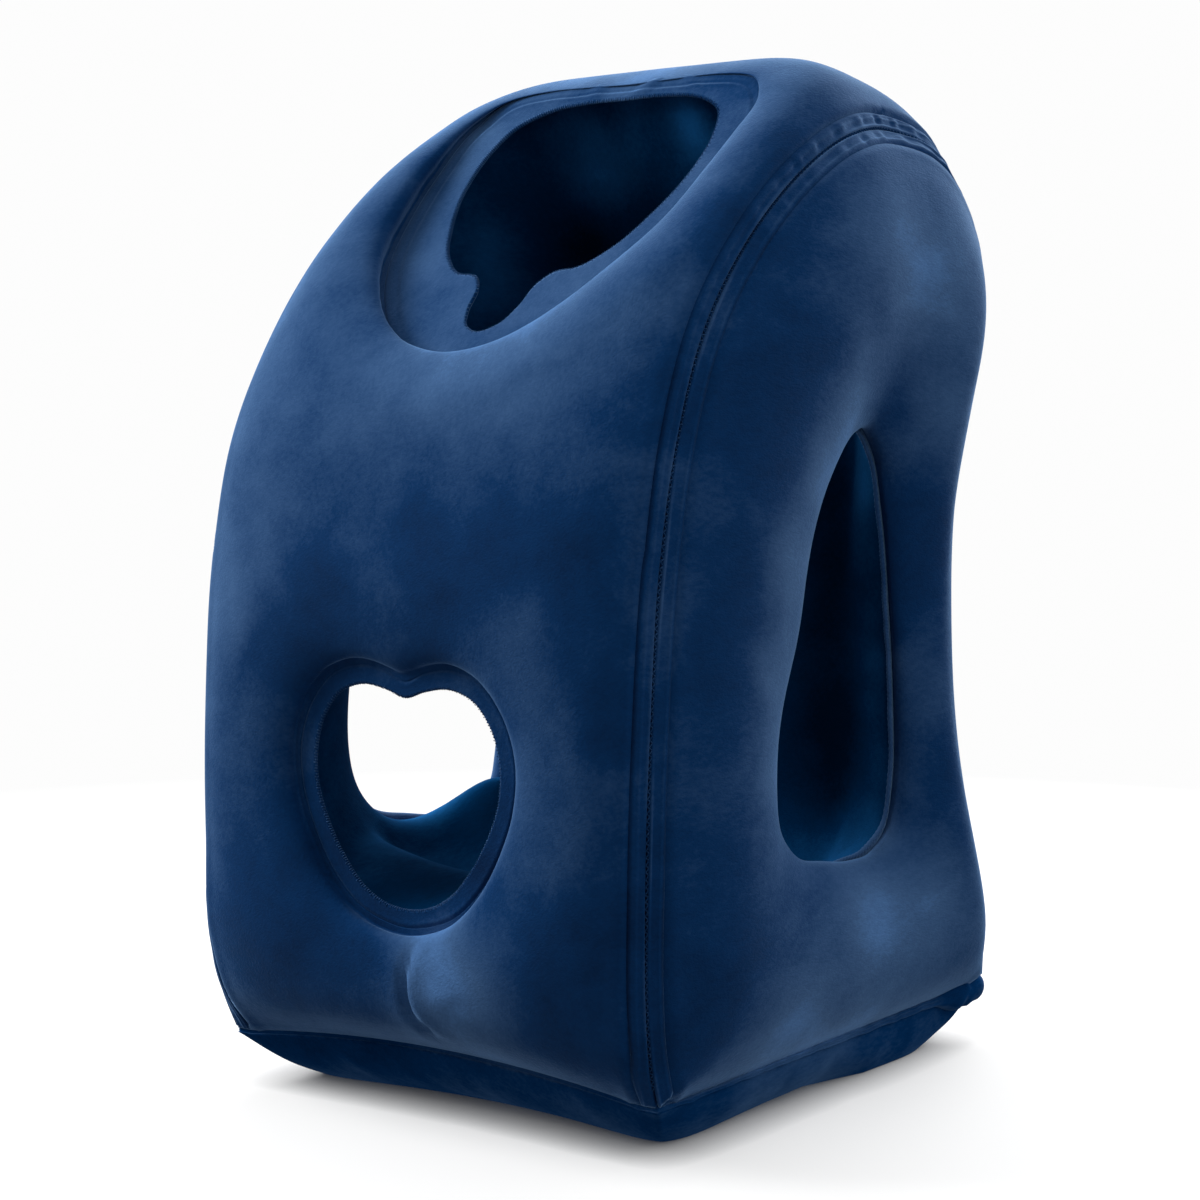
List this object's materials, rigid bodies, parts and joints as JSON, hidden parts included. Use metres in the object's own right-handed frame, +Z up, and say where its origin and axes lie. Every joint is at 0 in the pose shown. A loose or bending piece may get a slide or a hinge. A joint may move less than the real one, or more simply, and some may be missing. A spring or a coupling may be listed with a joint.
{
  "type": "inflatable lean-forward neck pillow",
  "caption": "Upright blown-up travel pillow with a slanted face opening, a heart-shaped opening in the front and an arm opening in each side, standing on a flat base.",
  "frame": {"origin": "middle of the flat base, on the surface that the pillow stands on", "axes": "+Z up, -Y out of the front with the heart, +X to the right as seen from the front"},
  "size_m": [0.3284, 0.3763, 0.5524],
  "materials": {
    "flocked_skin": "navy flocked velvet with a soft nap",
    "welded_edge": "pressed navy flocking along welds and stitches"
  },
  "bodies": {
    "root": {"air_body": "flocked_skin", "base_cushion": "flocked_skin", "base_flange": "welded_edge", "face_collar": "flocked_skin", "heart_collar": "flocked_skin", "arm_rim_left": "welded_edge", "arm_rim_right": "welded_edge", "seam_strip_left": "welded_edge", "seam_strip_right": "welded_edge", "top_tab": "welded_edge"}
  },
  "joints": []
}
